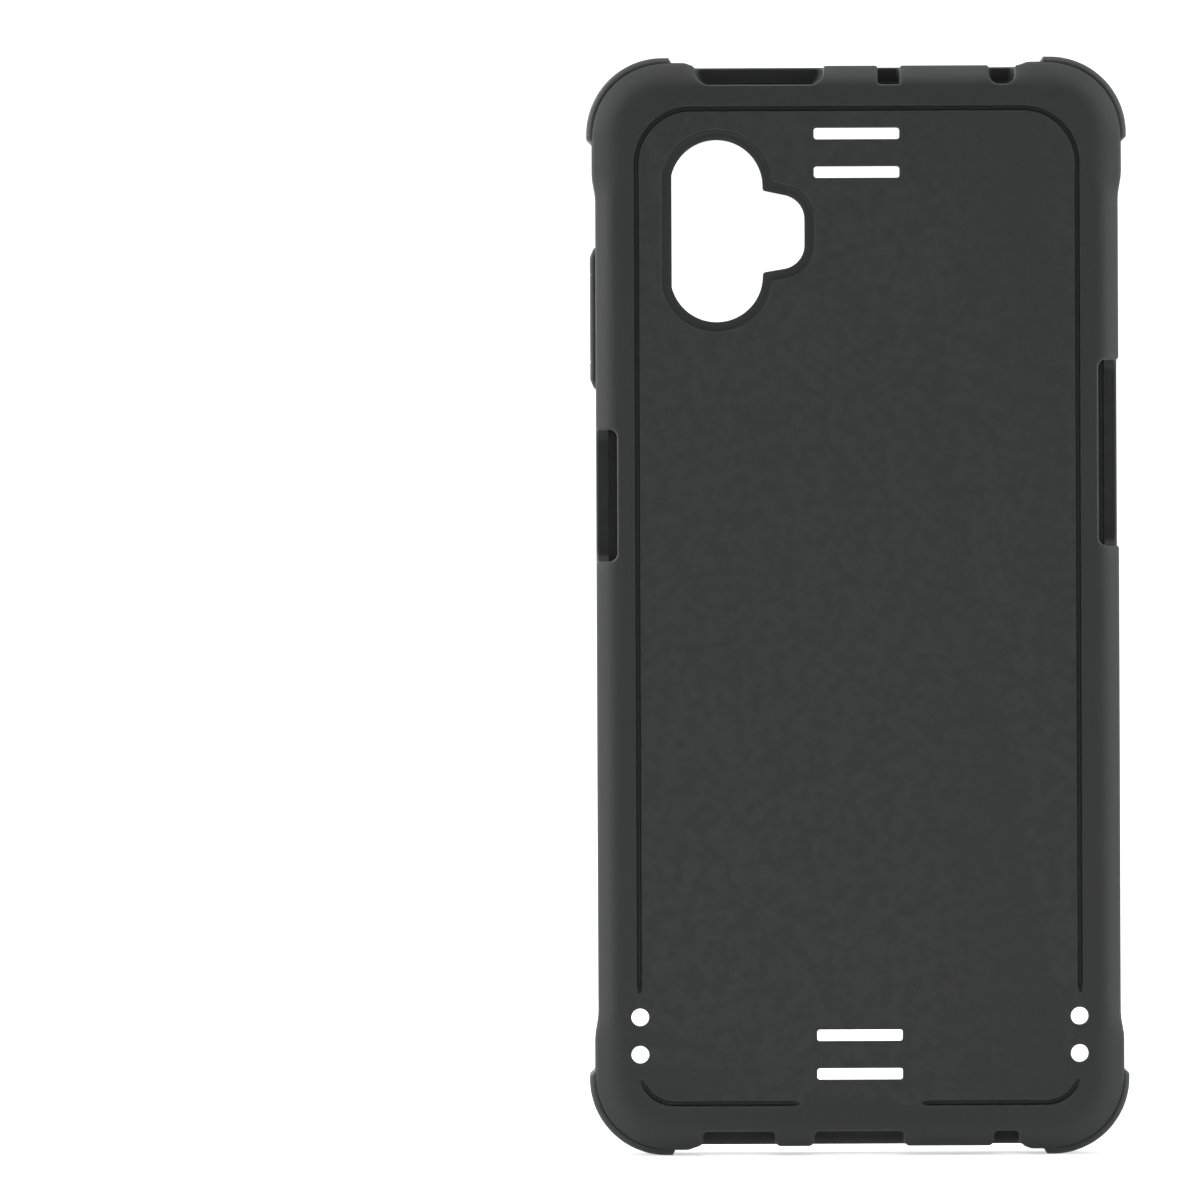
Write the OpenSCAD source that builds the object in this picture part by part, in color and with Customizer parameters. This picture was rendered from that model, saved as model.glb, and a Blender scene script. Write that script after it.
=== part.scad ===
// Rugged bumper case for a 6.6 inch phone.
// The case stands upright on its two lower corner bumpers: X is the width, Z the height, and
// the back panel faces -Y. The modules draw it lying on its screen, centred on the phone, with
// Z as the depth behind the front edge of the rim. stand_up() then puts it in its own frame.

/* [Phone] */
// Width of the phone the case is made for
phone_w = 79.9; // [60:0.1:100]
// Height of the phone
phone_h = 168.8; // [140:0.1:200]
// Thickness of the phone
phone_d = 9.9; // [8:0.1:14]
// Corner radius of the phone
phone_r = 8.7; // [6:0.1:10]
// Gap between the phone and the case on every side
phone_fit = 0.1; // [0.05:0.05:0.4]

/* [Shell] */
// Thickness of the two long side walls
side_wall = 2.0; // [1.8:0.1:3]
// Thickness of the top and bottom walls
end_wall = 2.4; // [1.8:0.1:3.5]
// Thickness of the back panel
back_wall = 2.2; // [1.6:0.1:3]
// Corner radius of the shell seen from the back
body_r = 10.9; // [10:0.1:13]
// Rounding of the edge between the back panel and the walls
back_round = 2.5; // [1:0.1:3]

/* [Front rim] */
// Height of the rim in front of the screen
lip_rise = 2.8; // [1.8:0.1:4]
// How far the rim reaches in from the outside of the shell
lip_reach = 4.5; // [3.5:0.1:6]
// Distance from the outside of the shell to the crest of the rim
crest_in = 1.9; // [1:0.1:2.5]
// Thickness of the rim where it meets the screen
lip_edge = 0.9; // [0.6:0.1:1.4]
// Thickness of the tongue that keys the rim into the shell
tongue_t = 0.6; // [0.4:0.1:0.7]
// Depth of that tongue
tongue_d = 1.0; // [0.6:0.1:1.4]
// Length of the sound notch in the top lip
notch_len = 22.6; // [16:0.2:30]
// Height of the sound notch
notch_h = 1.8; // [1:0.1:2.4]
// Length of the swipe recess in the bottom lip
swipe_len = 56; // [40:1:60]
// Depth of the swipe recess
swipe_d = 0.4; // [0.2:0.1:0.6]

/* [Corner bumpers] */
// How far a bumper stands proud of the walls
pad_rise = 1.4; // [0.8:0.1:3]
// How deep a bumper is let into the walls
pad_seat = 0.8; // [0.4:0.1:0.9]
// Length of a bumper along each wall, from the outer corner
pad_run = 13.8; // [12.6:0.1:20]
// Depth at which a bumper starts behind the front edge
pad_front = 1.7; // [1.2:0.1:2.6]
// Distance from the back of a bumper to the back panel's outer face
pad_back = 1.5; // [1:0.1:3]
// Chamfer on the front and back edges of a bumper
pad_bevel = 0.4; // [0.2:0.1:0.6]

/* [Camera window] */
// Radius of the window around each lens
lens_r = 7.5; // [6:0.1:9]
// Distance between the two lens centres
lens_pitch = 14.7; // [12:0.1:18]
// Upper lens centre, down from the top of the shell
lens_top = 19.4; // [16:0.1:26]
// Lens centres, in from the side of the shell
lens_side = 19.6; // [15:0.05:26]
// Reach of the flash window from the lens centres
flash_reach = 14.1; // [12:0.1:18]
// Height of the flash window
flash_h = 12.6; // [9:0.1:14]
// Corner radius of the flash window
flash_r = 3.9; // [1:0.1:5]
// Width of the sunk border round the window
sunk_w = 1.7; // [1:0.1:2.4]
// Depth of the sunk border
sunk_d = 0.6; // [0.3:0.1:1]

/* [Strap slots and lanyard holes] */
// Length of a hand strap slot
slot_len = 13.9; // [10:0.1:20]
// Width of a hand strap slot
slot_w = 1.9; // [1.5:0.1:2.6]
// Distance between the two slots of a pair
slot_pitch = 6.2; // [5:0.1:9]
// Upper slot pair, from the top of the shell to the middle of the pair
slot_top = 14.1; // [11:0.1:18]
// Lower slot pair, from the bottom of the shell to the middle of the pair
slot_bottom = 14.8; // [11:0.1:18]
// Corner radius of a slot
slot_r = 0.5; // [0.2:0.1:0.7]
// Radius of a lanyard hole
eye_r = 1.45; // [1.2:0.1:2.2]
// Distance from the middle of the case to the lanyard holes
eye_x = 35.3; // [28:0.1:36]
// Lower lanyard hole, up from the bottom of the shell
eye_bottom = 14.9; // [12:0.1:20]
// Distance between the two lanyard holes of a side
eye_pitch = 6; // [5:0.1:10]

/* [Engraved line] */
// Width of the line on the back panel
line_w = 0.6; // [0.4:0.1:1]
// Depth of the line
line_d = 0.4; // [0.2:0.1:0.8]
// Distance from the sides of the shell to the line
line_in = 6.65; // [6:0.05:9]
// Distance from the ends of the shell to the line
line_end_in = 7; // [6:0.05:9]
// Upper corner radius of the line
line_r = 8.8; // [6:0.1:10]
// Lower corner radius of the line
line_low_r = 5.6; // [4:0.1:10]
// Where the side runs end, up from the bottom of the shell
line_low = 24.4; // [23:0.1:40]
// Where the lower corner arcs end, up from the bottom of the shell
line_arc = 10; // [8:0.1:11.5]
// Plain gap in the bottom run
line_gap = 19.8; // [10:0.1:30]

/* [Side and end openings] */
// Depth at which the side openings start behind the front edge
side_open_front = 4.6; // [3:0.1:7]
// How far the side openings cut into the back panel, from the outside
side_open_in = 3.4; // [2.5:0.1:5]
// Corner radius of the side openings
side_open_r = 2; // [1:0.1:3]
// Length of the fingerprint key opening
power_len = 21.2; // [16:0.1:28]
// Middle of the fingerprint key opening, up from the bottom of the shell
power_up = 104.8; // [90:0.1:108]
// Length of the programmable key opening
aux_len = 30; // [20:0.1:36]
// Middle of the programmable key opening, up from the bottom of the shell
aux_up = 111.4; // [90:0.1:120]
// Depth at which the end openings start behind the front edge
end_open_front = 5; // [4:0.1:7]
// How far the top openings cut into the back panel, from the outside
top_open_in = 3.0; // [2.5:0.1:5]
// How far the bottom openings cut into the back panel, from the outside
bottom_open_in = 2.5; // [2.5:0.1:5]
// Left and right end of the top key opening, from the middle
top_key_span = [-25.5, -5.5];
// Left and right end of the top microphone notch
top_mic_span = [3.3, 7.2];
// Left and right end of the headset notch
headset_span = [21.3, 25.8];
// Left and right end of the speaker opening
speaker_span = [-25.4, -13.1];
// Left and right end of the charging opening
charger_span = [-7.6, 7.6];
// Left and right end of the bottom microphone notch
bottom_mic_span = [21.5, 25.8];

/* [Volume rocker] */
// Length of the rocker
rocker_len = 23; // [16:0.1:28]
// Width of the rocker
rocker_w = 3.7; // [3:0.1:5]
// Middle of the rocker, up from the bottom of the shell
rocker_up = 133.4; // [126:0.1:140]
// Depth of the rocker's middle line behind the front edge
rocker_depth = 7.5; // [6.5:0.1:9]
// How far the rocker stands proud of the wall
rocker_rise = 0.9; // [0.4:0.1:1.4]
// Thickness of the rocker
rocker_t = 1.8; // [1.6:0.1:1.9]
// Width of the slots along the rocker
rocker_slot = 0.62; // [0.4:0.02:0.9]
// Gap at the rocker's two ends
rocker_gap = 0.25; // [0.15:0.05:0.5]
// Thickness of the ledges under the rocker's ends
ledge_t = 0.4; // [0.3:0.1:0.5]
// Length of each ledge
ledge_len = 2.4; // [1.5:0.1:4]
// Radius of the web's torsion core
web_r = 0.5; // [0.4:0.05:0.5]
// Depth of the torsion core's middle under the rocker's face
web_under = 1.05; // [0.9:0.05:1.1]
// Length of the web along the slots
web_len = 1.3; // [1:0.1:2]
// Running clearance round the torsion core
web_fit = 0.05; // [0.02:0.01:0.1]
// Height of the two press points on the rocker's inside
press_h = 0.5; // [0.3:0.1:0.6]

/* [Hidden] */
$fn = 64;
eps = 0.01;
past = 1;                                     // how far a cut runs past a face
body_w = phone_w + 2 * (phone_fit + side_wall);
body_h = phone_h + 2 * (phone_fit + end_wall);
body_d = lip_rise + phone_d + phone_fit + back_wall;
room_w = phone_w + 2 * phone_fit;
room_h = phone_h + 2 * phone_fit;
room_r = phone_r + phone_fit;
room_floor = body_d - back_wall;              // depth of the cavity's floor
tongue_in = pad_seat + 0.2;                   // the tongue stays behind the bumper seats
shell_color = [0.2, 0.215, 0.205];
gloss_color = [0.1, 0.108, 0.104];
pad_color = [0.23, 0.245, 0.235];
rocker_y = rocker_up - body_h / 2;
rocker_top = body_w / 2 + rocker_rise;        // the rocker's outer face, from the middle
web_x = rocker_top - web_under;               // the torsion core, from the middle
web_sunk = 0.15;                              // the web's tabs lie this far under the wall's face
web_tab_gap = 0.12;                           // between a tab and the rocker's side

// Puts what is drawn lying on the screen into the case's own upright frame
module stand_up() {
    translate([0, body_d / 2, pad_rise + body_h / 2]) rotate([90, 0, 0]) children();
}

module round_rect(w, h, r) {
    square([w - 2 * r, h], center = true);
    square([w, h - 2 * r], center = true);
    for (x = [-1, 1], y = [-1, 1])
        translate([x * (w / 2 - r), y * (h / 2 - r)]) circle(r);
}

// Runs a profile round a rounded rectangle. The profile's x is measured outward from the
// outline, its y is the depth.
module run_round(w, h, r) {
    for (mx = [0, 1], my = [0, 1])
        mirror([mx, 0, 0]) mirror([0, my, 0])
            translate([w / 2 - r, h / 2 - r, 0])
                rotate_extrude(angle = 90) translate([r, 0]) children();
    for (m = [0, 1])
        mirror([m, 0, 0]) translate([w / 2, h / 2 - r, 0])
            rotate([90, 0, 0]) linear_extrude(h - 2 * r) children();
    for (m = [0, 1])
        mirror([0, m, 0]) translate([r - w / 2, h / 2, 0])
            rotate([90, 0, 90]) linear_extrude(w - 2 * r) children();
}

// A hole through a side wall, drawn as height by depth and driven in from -X
module through_side(from_x, to_x) {
    translate([from_x, 0, 0]) rotate([90, 0, 90]) linear_extrude(to_x - from_x) children();
}

module shell_blank() {
    straight = body_d - back_round;
    translate([0, 0, lip_rise])
        linear_extrude(straight - lip_rise) round_rect(body_w, body_h, body_r);
    translate([0, 0, straight]) {
        linear_extrude(back_round)
            round_rect(body_w - 2 * back_round, body_h - 2 * back_round, body_r - back_round);
        run_round(body_w, body_h, body_r)
            translate([-back_round, 0]) intersection() {
                circle(back_round);
                square(back_round);
            }
    }
}

// The strip that a bumper fills, from let_in inside the walls to rise outside them
module pad_outline(rise, let_in) {
    difference() {
        round_rect(body_w + 2 * rise, body_h + 2 * rise, body_r + rise);
        round_rect(body_w - 2 * let_in, body_h - 2 * let_in, body_r - let_in);
    }
}

module pad_corner(mx, my) {
    mirror([mx, 0]) mirror([0, my])
        translate([body_w / 2 + pad_rise - pad_run, body_h / 2 + pad_rise - pad_run])
            square(pad_run + past);
}

module bumper(mx, my) {
    far = body_d - pad_back;
    color(pad_color) stand_up() {
        translate([0, 0, pad_front]) linear_extrude(far - pad_front)
            intersection() {
                pad_outline(pad_rise - pad_bevel, pad_seat);
                pad_corner(mx, my);
            }
        translate([0, 0, pad_front + pad_bevel]) linear_extrude(far - pad_front - 2 * pad_bevel)
            intersection() {
                pad_outline(pad_rise, pad_seat);
                pad_corner(mx, my);
            }
    }
}

module pad_seats() {
    translate([0, 0, pad_front]) linear_extrude(body_d - pad_back - pad_front)
        intersection() {
            pad_outline(pad_rise, pad_seat);
            for (mx = [0, 1], my = [0, 1]) pad_corner(mx, my);
        }
}

// The window round the two lenses and the flash, grown by the width of its border
module camera_outline(grow) {
    translate([lens_side - body_w / 2, body_h / 2 - lens_top]) {
        circle(lens_r + grow);
        translate([0, -lens_pitch]) circle(lens_r + grow);
        translate([-lens_r - grow, -lens_pitch]) square([lens_r + grow, lens_pitch]);
        translate([0, -(lens_pitch + flash_h) / 2 - grow])
            square([flash_reach - flash_r, flash_h + 2 * grow]);
        for (y = [-1, 1])
            translate([flash_reach - flash_r, -lens_pitch / 2 + y * (flash_h / 2 - flash_r)])
                circle(flash_r + grow);
        translate([0, -lens_pitch / 2 - flash_h / 2 + flash_r])
            square([flash_reach + grow, flash_h - 2 * flash_r]);
    }
}

module camera_window() {
    translate([0, 0, room_floor - past]) linear_extrude(back_wall + 2 * past) camera_outline(0);
    translate([0, 0, body_d - sunk_d]) linear_extrude(sunk_d + past) camera_outline(sunk_w);
}

module strap_slots() {
    pairs = [body_h / 2 - slot_top, slot_bottom - body_h / 2];
    translate([0, 0, room_floor - past]) linear_extrude(back_wall + 2 * past)
        for (y = pairs, s = [-1, 1])
            translate([0, y + s * slot_pitch / 2]) round_rect(slot_len, slot_w, slot_r);
}

module lanyard_holes() {
    for (x = [-1, 1], n = [0, 1])
        translate([x * eye_x, eye_bottom + n * eye_pitch - body_h / 2, room_floor - past])
            cylinder(r = eye_r, h = back_wall + 2 * past);
}

// The area inside the line, grown; its upper and lower corners have their own radii
module line_area(grow) {
    w = body_w - 2 * line_in + 2 * grow;
    h = body_h - 2 * line_end_in + 2 * grow;
    for (m = [0, 1]) mirror([0, m]) intersection() {
        round_rect(w, h, (m == 0 ? line_r : line_low_r) + grow);
        translate([-body_w / 2, -eps]) square([body_w, body_h]);
    }
}

module engraved_line() {
    translate([0, 0, body_d - line_d]) linear_extrude(line_d + past) difference() {
        line_area(line_w / 2);
        line_area(-line_w / 2);
        translate([-body_w / 2, line_arc - body_h / 2]) square([body_w, line_low - line_arc]);
        translate([-line_gap / 2, -body_h / 2]) square([line_gap, line_end_in + line_w]);
    }
}

// An opening in a side wall that runs out through the back edge
module side_opening(len, up, side) {
    deep = body_d + past + side_open_r - side_open_front;
    inner = body_w / 2 - side_open_in;
    mirror([side, 0, 0]) translate([-body_w, up - body_h / 2, 0])
        through_side(0, body_w - inner)
            translate([0, side_open_front + deep / 2]) round_rect(len, deep, side_open_r);
}

// An opening in the top wall, or in the bottom wall where low is 1, that runs out through
// the back edge
module end_opening(span, open_in, low) {
    mirror([0, low, 0])
        translate([span[0], body_h / 2 - open_in, end_open_front])
            cube([span[1] - span[0], open_in + past, body_d - end_open_front + past]);
}

// The room for the rocker: open to the inside between two ledges
module rocker_room() {
    room = rocker_w + 2 * rocker_slot;
    len = rocker_len + 2 * rocker_gap;
    translate([0, rocker_y, 0]) {
        through_side(-body_w / 2 - past, -room_w / 2 - ledge_t)
            translate([0, rocker_depth]) round_rect(len, room, room / 2 - eps);
        through_side(-body_w / 2 - past, -room_w / 2 + past)
            translate([0, rocker_depth])
                square([rocker_len - 2 * ledge_len, room], center = true);
    }
}

module web_core(r, overhang) {
    len = rocker_w + 2 * rocker_slot + 2 * overhang;
    translate([-web_x, rocker_y, rocker_depth - len / 2]) cylinder(r = r, h = len);
}

module back_shell() {
    color(shell_color) stand_up() difference() {
        shell_blank();
        translate([0, 0, lip_rise - past])
            linear_extrude(room_floor - lip_rise + past) round_rect(room_w, room_h, room_r);
        translate([0, 0, lip_rise]) run_round(body_w, body_h, body_r) tongue(past);
        pad_seats();
        camera_window();
        strap_slots();
        lanyard_holes();
        engraved_line();
        side_opening(power_len, power_up, 0);
        side_opening(aux_len, aux_up, 1);
        for (span = [top_key_span, top_mic_span, headset_span])
            end_opening(span, top_open_in, 0);
        for (span = [speaker_span, charger_span, bottom_mic_span])
            end_opening(span, bottom_open_in, 1);
        rocker_room();
        web_core(web_r, web_len);
    }
}

module tongue(up) {
    translate([-tongue_in - tongue_t, -up]) square([tongue_t, tongue_d + up]);
}

module rim_profile() {
    crown = lip_rise - 0.2;                   // depth over which the outside rounds off
    polygon([
        [-lip_reach, lip_rise],
        [0, lip_rise],
        for (a = [0 : 15 : 90]) [-crest_in * (1 - cos(a)), crown * (1 - sin(a))],
        [-crest_in - 0.4, 0.1],
        [-lip_reach, lip_rise - lip_edge]
    ]);
}

module front_bezel() {
    slope = (lip_rise - lip_edge) / (lip_reach - crest_in);
    color(gloss_color) stand_up() difference() {
        union() {
            run_round(body_w, body_h, body_r) rim_profile();
            translate([0, 0, lip_rise]) run_round(body_w, body_h, body_r) tongue(eps);
        }
        pad_seats();
        translate([-notch_len / 2, body_h / 2 - lip_reach - past, -past])
            cube([notch_len, notch_h + past, lip_rise - lip_edge + past]);
        translate([-swipe_len / 2, -body_h / 2, 0]) rotate([90, 0, 90]) linear_extrude(swipe_len)
            polygon([
                [crest_in + 0.6, -past],
                [crest_in + 0.6, swipe_d + 0.2 * slope],
                [lip_reach + past, swipe_d + (lip_reach + past - crest_in - 0.4) * slope],
                [lip_reach + past, -past]
            ]);
    }
}

module volume_rocker() {
    mark = rocker_len / 2 - 4.5;              // from the middle to the plus and minus marks
    mark_l = 1.6;
    mark_w = 0.4;
    mark_d = 0.25;
    color(pad_color) stand_up() difference() {
        translate([0, rocker_y, 0]) {
            through_side(-rocker_top, rocker_t - rocker_top)
                translate([0, rocker_depth]) round_rect(rocker_len, rocker_w, rocker_w / 2 - eps);
            for (s = [-1, 1])
                translate([rocker_t - rocker_top - eps, s * mark, rocker_depth])
                    rotate([0, 90, 0]) cylinder(r = 1, h = press_h + eps);
        }
        web_core(web_r + web_fit, past);
        translate([-rocker_top, rocker_y, rocker_depth]) {
            for (s = [-1, 1])
                translate([0, s * mark, 0]) cube([2 * mark_d, mark_w, mark_l], center = true);
            translate([0, mark, 0]) cube([2 * mark_d, mark_l, mark_w], center = true);
        }
    }
}

module rocker_web() {
    tab = rocker_slot - web_tab_gap;
    tab_face = body_w / 2 - web_sunk;
    color(shell_color) stand_up() {
        web_core(web_r, web_len - eps);
        for (s = [-1, 1])
            translate([-tab_face, rocker_y - web_len / 2,
                       rocker_depth + s * (rocker_w / 2 + rocker_slot - tab / 2) - tab / 2])
                cube([tab_face - web_x + web_r, web_len, tab]);
    }
}

back_shell();
front_bezel();
bumper(1, 0);  // bumper_top_left
bumper(0, 0);  // bumper_top_right
bumper(1, 1);  // bumper_bottom_left
bumper(0, 1);  // bumper_bottom_right
volume_rocker();
rocker_web();
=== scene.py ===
"""A rugged bumper case for a large phone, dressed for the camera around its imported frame.

Sizes are in millimetres until place() puts them into the frame. The meshes are drawn as the
case lies on its screen: x is the width, y the height from the case's middle, and depth runs
back from the crest of the front rim. Cutting solids run on past the wall and past the back.
"""

import logging
import math
from dataclasses import dataclass, field
from enum import Enum
from typing import Callable, Optional, Sequence, Union

import bmesh
import bpy
import numpy as np
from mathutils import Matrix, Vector


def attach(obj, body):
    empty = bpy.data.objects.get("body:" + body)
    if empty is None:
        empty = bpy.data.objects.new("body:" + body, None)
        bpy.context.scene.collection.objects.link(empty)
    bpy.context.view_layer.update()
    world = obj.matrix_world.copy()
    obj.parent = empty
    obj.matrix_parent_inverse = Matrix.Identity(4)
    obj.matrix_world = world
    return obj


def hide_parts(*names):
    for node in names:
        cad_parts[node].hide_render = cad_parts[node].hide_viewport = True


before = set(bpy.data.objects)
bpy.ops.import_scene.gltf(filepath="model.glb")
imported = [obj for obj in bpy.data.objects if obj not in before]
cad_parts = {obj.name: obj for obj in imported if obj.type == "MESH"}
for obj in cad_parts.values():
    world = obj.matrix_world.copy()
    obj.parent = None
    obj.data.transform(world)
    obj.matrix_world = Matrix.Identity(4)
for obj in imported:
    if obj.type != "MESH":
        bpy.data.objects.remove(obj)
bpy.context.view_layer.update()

LOG = logging.getLogger("case")
MM = 0.001
HALF_DEPTH = 7.5
CENTRE_UP = 88.3
ROCKER_UP = 46.5
PAST_BACK = 17.5
PAST_WALL = 44.0

Pair = tuple[float, float]
Colour = tuple[float, float, float]


# ---------------------------------------------------------------------------- geometry


def place(points: np.ndarray) -> np.ndarray:
    """Puts points drawn lying on the screen into the upright frame.

    Args:
        points: Rows of x, y and depth in millimetres.

    Returns:
        Rows of X, Y and Z in metres.
    """
    stood = np.empty((len(points), 3))
    stood[:, 0] = points[:, 0]
    stood[:, 1] = HALF_DEPTH - points[:, 2]
    stood[:, 2] = points[:, 1] + CENTRE_UP
    return stood * MM


def ease(low: float, high: float, value: Union[float, np.ndarray]) -> np.ndarray:
    """How far value is from low to high, as a share from 0 to 1 that is eased at both ends."""
    share = np.clip((np.asarray(value, float) - low) / (high - low), 0.0, 1.0)
    return share * share * (3.0 - 2.0 * share)


def arc(
    middle: Sequence[float], radius: float, begin: float, finish: float, steps: int
) -> np.ndarray:
    """Points of an arc.

    Args:
        middle: Its middle.
        radius: Its radius.
        begin: Angle of its first point, in degrees.
        finish: Angle of its last point.
        steps: How many steps it is drawn in.

    Returns:
        Rows of x and y.
    """
    turn = np.radians(np.linspace(begin, finish, steps + 1))
    return np.column_stack(
        [middle[0] + radius * np.cos(turn), middle[1] + radius * np.sin(turn)]
    )


def round_unit(steps: int) -> np.ndarray:
    """Points round a circle of radius 1 about the origin."""
    turn = np.linspace(0.0, 2.0 * math.pi, steps + 1)[:-1]
    return np.column_stack([np.cos(turn), np.sin(turn)])


def run_along(path: np.ndarray) -> np.ndarray:
    """How far along a path each of its points is."""
    return np.concatenate([[0.0], np.cumsum(np.linalg.norm(np.diff(path, axis=0), axis=1))])


def flat_ring(flat: np.ndarray, depth: float) -> np.ndarray:
    """An outline seen from the back, set at one depth."""
    return np.column_stack([flat, np.full(len(flat), depth)])


def rocker_ring(
    flat: np.ndarray, out: Union[float, np.ndarray], along: float = 0.0
) -> np.ndarray:
    """An outline drawn about the rocker's middle, stood on its wall so far out and along."""
    across = -np.broadcast_to(np.asarray(out, float), (len(flat),))
    return np.column_stack([across, flat[:, 1] + ROCKER_UP + along, flat[:, 0] + HALF_DEPTH])


def quarter(radius: float, reach: float) -> float:
    """How far a quarter round has drawn in, where it still has reach to go before its end."""
    left = max(0.0, radius - reach)
    return radius - math.sqrt(max(0.0, radius * radius - left * left))


@dataclass
class Loop:
    """A closed outline: its points in order and the outward normal at each."""

    points: np.ndarray
    normals: np.ndarray

    def grown(self, by: Union[float, np.ndarray]) -> np.ndarray:
        """The points moved outward by a distance, or by one distance each."""
        step = np.broadcast_to(np.asarray(by, float), (len(self.points),))
        return self.points + self.normals * step[:, None]

    def at_depth(
        self, by: Union[float, np.ndarray], depth: Union[float, np.ndarray]
    ) -> np.ndarray:
        """The points moved outward and set at a depth, or at one depth each."""
        deep = np.broadcast_to(np.asarray(depth, float), (len(self.points),))
        return np.column_stack([self.grown(by), deep])


def rounded_loop(
    half_w: float,
    half_h: float,
    radius: float,
    along_w: np.ndarray,
    along_h: np.ndarray,
    arc_steps: int,
) -> Loop:
    """A rounded rectangle whose points answer one another from size to size.

    Args:
        half_w: Half its width.
        half_h: Half its height.
        radius: Corner radius.
        along_w: Places along a short run, from -1 to 1.
        along_h: Places along a long run, from -1 to 1.
        arc_steps: Steps round each corner.

    Returns:
        The outline, from the foot of the right side round by the top.
    """
    run_w, run_h = half_w - radius, half_h - radius
    points: list[Pair] = []
    normals: list[Pair] = []

    def straight(place_at: Callable[[float], Pair], normal: Pair, along: np.ndarray) -> None:
        """Adds one straight run.

        Args:
            place_at: Gives the point at a place from -1 to 1.
            normal: The run's outward normal.
            along: Places along the run.
        """
        for share in along:
            points.append(place_at(float(share)))
            normals.append(normal)

    def corner(cx: float, cy: float, start: float) -> None:
        """Adds the inner points of one corner.

        Args:
            cx: Where the corner's middle is across.
            cy: Where it is up the height.
            start: Angle where the corner starts, in degrees.
        """
        for step in range(1, arc_steps):
            angle = math.radians(start + 90.0 * step / arc_steps)
            c, s = math.cos(angle), math.sin(angle)
            points.append((cx + radius * c, cy + radius * s))
            normals.append((c, s))

    straight(lambda t: (half_w, run_h * t), (1.0, 0.0), along_h)
    corner(run_w, run_h, 0.0)
    straight(lambda t: (-run_w * t, half_h), (0.0, 1.0), along_w)
    corner(-run_w, run_h, 90.0)
    straight(lambda t: (-half_w, -run_h * t), (-1.0, 0.0), along_h)
    corner(-run_w, -run_h, 180.0)
    straight(lambda t: (run_w * t, -half_h), (0.0, -1.0), along_w)
    corner(run_w, -run_h, 270.0)
    return Loop(np.array(points), np.array(normals))


def ring_faces(count: int, size: int, closed: bool) -> list[tuple[int, ...]]:
    """Faces between stacked rings, with the two ends capped or joined.

    Args:
        count: Number of rings.
        size: Points in each ring.
        closed: True to join the last ring to the first, False to cap both.

    Returns:
        The faces as tuples of vertex numbers.
    """
    faces: list[tuple[int, ...]] = []
    for i in range(count if closed else count - 1):
        low, high = i * size, ((i + 1) % count) * size
        for j in range(size):
            k = (j + 1) % size
            faces.append((low + j, low + k, high + k, high + j))
    if not closed:
        faces.append(tuple(range(size - 1, -1, -1)))
        faces.append(tuple(range((count - 1) * size, count * size)))
    return faces


def loft(name: str, rings: Sequence[np.ndarray], closed: bool = False) -> bpy.types.Object:
    """Makes a solid from rings of equal length.

    Args:
        name: Name of the object.
        rings: Rings of x, y and depth.
        closed: True where the rings run round to the first again.

    Returns:
        The object, its faces turned outward.
    """
    size = len(rings[0])
    mesh = bpy.data.meshes.new(name)
    mesh.from_pydata(
        place(np.vstack(rings)).tolist(), [], ring_faces(len(rings), size, closed)
    )
    outward(mesh)
    made = bpy.data.objects.new(name, mesh)
    bpy.context.scene.collection.objects.link(made)
    return made


def outward(mesh: bpy.types.Mesh) -> None:
    """Turns every face of a closed mesh outward.

    Args:
        mesh: The mesh.
    """
    work = bmesh.new()
    work.from_mesh(mesh)
    bmesh.ops.recalc_face_normals(work, faces=work.faces)
    work.to_mesh(mesh)
    work.free()


def settle(made: bpy.types.Object) -> None:
    """Applies every modifier of an object to its mesh.

    Args:
        made: The object.
    """
    graph = bpy.context.evaluated_depsgraph_get()
    graph.update()
    mesh = bpy.data.meshes.new_from_object(made.evaluated_get(graph))
    old = made.data
    made.modifiers.clear()
    made.data = mesh
    mesh.name = made.name
    bpy.data.meshes.remove(old)


def carve(made: bpy.types.Object, tools: Sequence[bpy.types.Object]) -> None:
    """Cuts the tools out of an object and throws the tools away.

    Args:
        made: The object to cut.
        tools: Closed solids, which may overlap one another.
    """
    tray = bpy.data.collections.new("tools")
    bpy.context.scene.collection.children.link(tray)
    for tool in tools:
        bpy.context.scene.collection.objects.unlink(tool)
        tray.objects.link(tool)
    cut = made.modifiers.new("cut", "BOOLEAN")
    cut.operation = "DIFFERENCE"
    cut.solver = "EXACT"
    cut.operand_type = "COLLECTION"
    cut.collection = tray
    settle(made)
    for tool in tools:
        mesh = tool.data
        bpy.data.objects.remove(tool)
        bpy.data.meshes.remove(mesh)
    bpy.data.collections.remove(tray)


def tidy_up(made: bpy.types.Object, within: float = 0.001) -> None:
    """Welds the specks that a cut leaves.

    Args:
        made: The object to clean.
        within: Points closer than this, in millimetres, become one.
    """
    work = bmesh.new()
    work.from_mesh(made.data)
    bmesh.ops.remove_doubles(work, verts=work.verts, dist=within * MM)
    bmesh.ops.dissolve_degenerate(work, edges=work.edges, dist=within * MM)
    work.to_mesh(made.data)
    work.free()


def soften(made: bpy.types.Object, width: float, steps: int = 2, angle: float = 35.0) -> None:
    """Rounds the sharp edges of an object.

    Args:
        made: The object.
        width: Width of the rounding in millimetres.
        steps: Steps across the rounding.
        angle: Edges sharper than this, in degrees, are rounded.
    """
    edge = made.modifiers.new("edge", "BEVEL")
    edge.width = width * MM
    edge.segments = steps
    edge.limit_method = "ANGLE"
    edge.angle_limit = math.radians(angle)
    edge.use_clamp_overlap = True
    edge.miter_outer = "MITER_SHARP"
    edge.loop_slide = True
    settle(made)


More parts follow.
